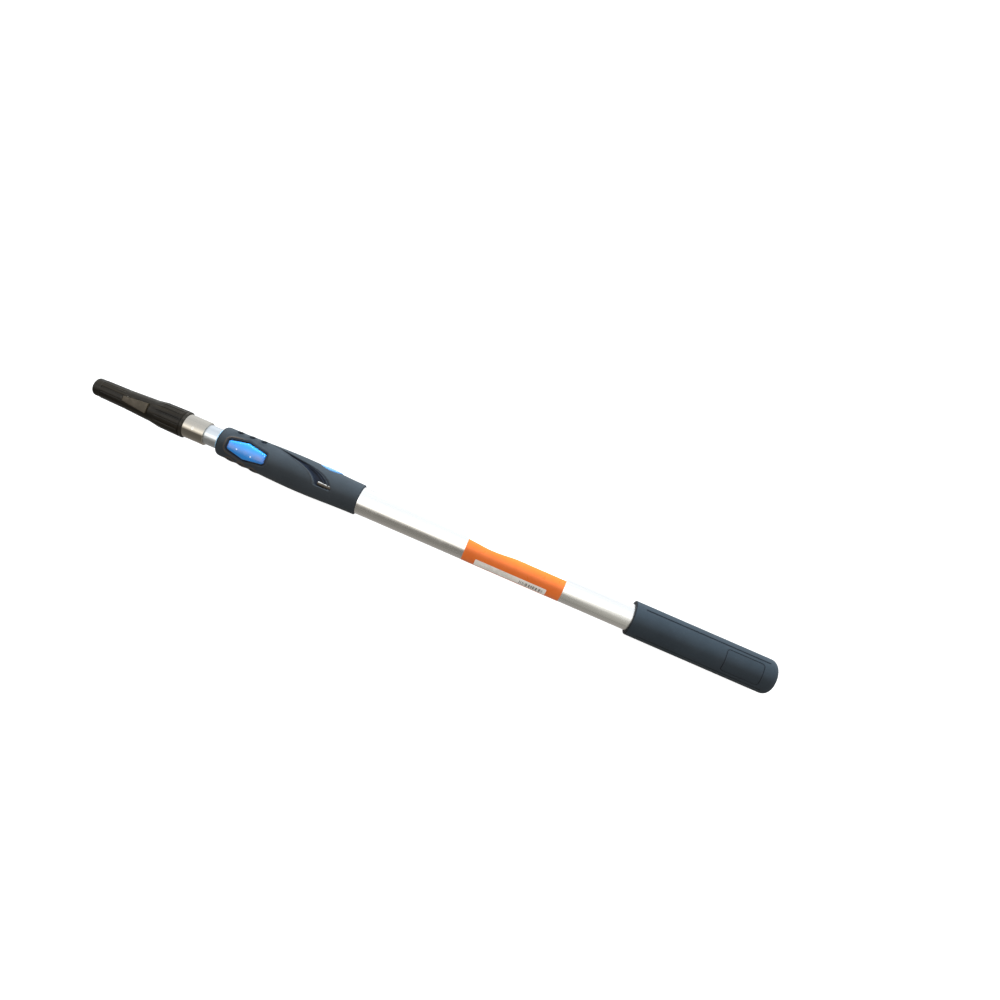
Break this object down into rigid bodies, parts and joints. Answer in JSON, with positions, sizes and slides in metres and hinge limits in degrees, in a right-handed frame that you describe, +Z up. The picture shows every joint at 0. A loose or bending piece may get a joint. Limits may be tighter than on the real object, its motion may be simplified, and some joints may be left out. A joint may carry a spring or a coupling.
{
  "type": "telescopic window cleaning pole",
  "caption": "Telescopic aluminium extension pole with a fluted locking cone, a push-button length lock in a rubber front grip, and a rubber end grip.",
  "frame": {"origin": "centre of the closed pole's length, under its axis, on the surface that it lies on", "axes": "+X along the pole from the cone to the end grip, +Y towards the side with the blue inlay, +Z up, towards the lock button"},
  "size_m": [0.732, 0.0356, 0.035],
  "materials": {
    "cone_plastic": "moulded, semi-gloss",
    "catch_plastic": "moulded, glossy",
    "pin_steel": "turned",
    "spring_steel": "drawn wire and strip",
    "ferrule_chrome": "polished",
    "inner_aluminium": "bright satin",
    "outer_aluminium": "satin anodised",
    "slide_plastic": "moulded, natural",
    "plug_plastic": "moulded",
    "end_rubber": "fine matte skin",
    "label_film": "printed film",
    "sticker_paper": "coated paper",
    "housing_plastic": "moulded",
    "grip_rubber": "fine matte skin",
    "blue_plastic": "moulded, glossy",
    "bar_steel": "polished",
    "seal_rubber": "moulded",
    "brake_brass": "plain"
  },
  "bodies": {
    "handle": {"outer_tube": "outer_aluminium", "stop_bush": "slide_plastic", "end_plug": "plug_plastic", "end_grip": "end_rubber", "label_wrap": "label_film", "barcode_sticker": "sticker_paper", "front_housing": "housing_plastic", "rear_housing": "housing_plastic", "housing_screws": "pin_steel", "tube_screws": "pin_steel", "grip_cover": "grip_rubber", "side_inlay": "blue_plastic", "strap_bar": "bar_steel", "front_bush": "blue_plastic", "wiper_seal": "seal_rubber", "lock_spring": "spring_steel"},
    "glide": {"rear_glide": "slide_plastic"},
    "inner_pole": {"cone_body": "cone_plastic", "catch_pin": "pin_steel", "catch_spring": "spring_steel", "ferrule": "ferrule_chrome", "ferrule_pin": "pin_steel", "inner_tube": "inner_aluminium", "tail_plug": "plug_plastic", "tail_ring": "spring_steel"},
    "catch": {"cone_catch": "catch_plastic"},
    "lock": {"lock_button": "blue_plastic", "lock_yoke": "pin_steel", "brake_shoe": "brake_brass"}
  },
  "joints": [
    {"name": "extension", "type": "slide", "parent": "handle", "child": "glide", "axis": [-1, 0, 0], "range_m": [0, 0.48]},
    {"name": "tube_twist", "type": "hinge", "parent": "glide", "child": "inner_pole", "pos_m": [0, 0, 0.01715], "axis": [1, 0, 0], "continuous": true},
    {"name": "lock_press", "type": "slide", "parent": "handle", "child": "lock", "axis": [0, 0, -1], "range_m": [0, 0.0015], "stiffness_N_per_m": 800, "springref_m": -0.003, "deforming": ["lock_spring"]},
    {"name": "catch_press", "type": "hinge", "parent": "inner_pole", "child": "catch", "pos_m": [-0.3295, 0, 0.02355], "axis": [0, 1, 0], "range_deg": [0, 3.4], "stiffness_Nm_per_rad": 0.05, "springref_deg": -22.92, "deforming": ["catch_spring"]}
  ]
}
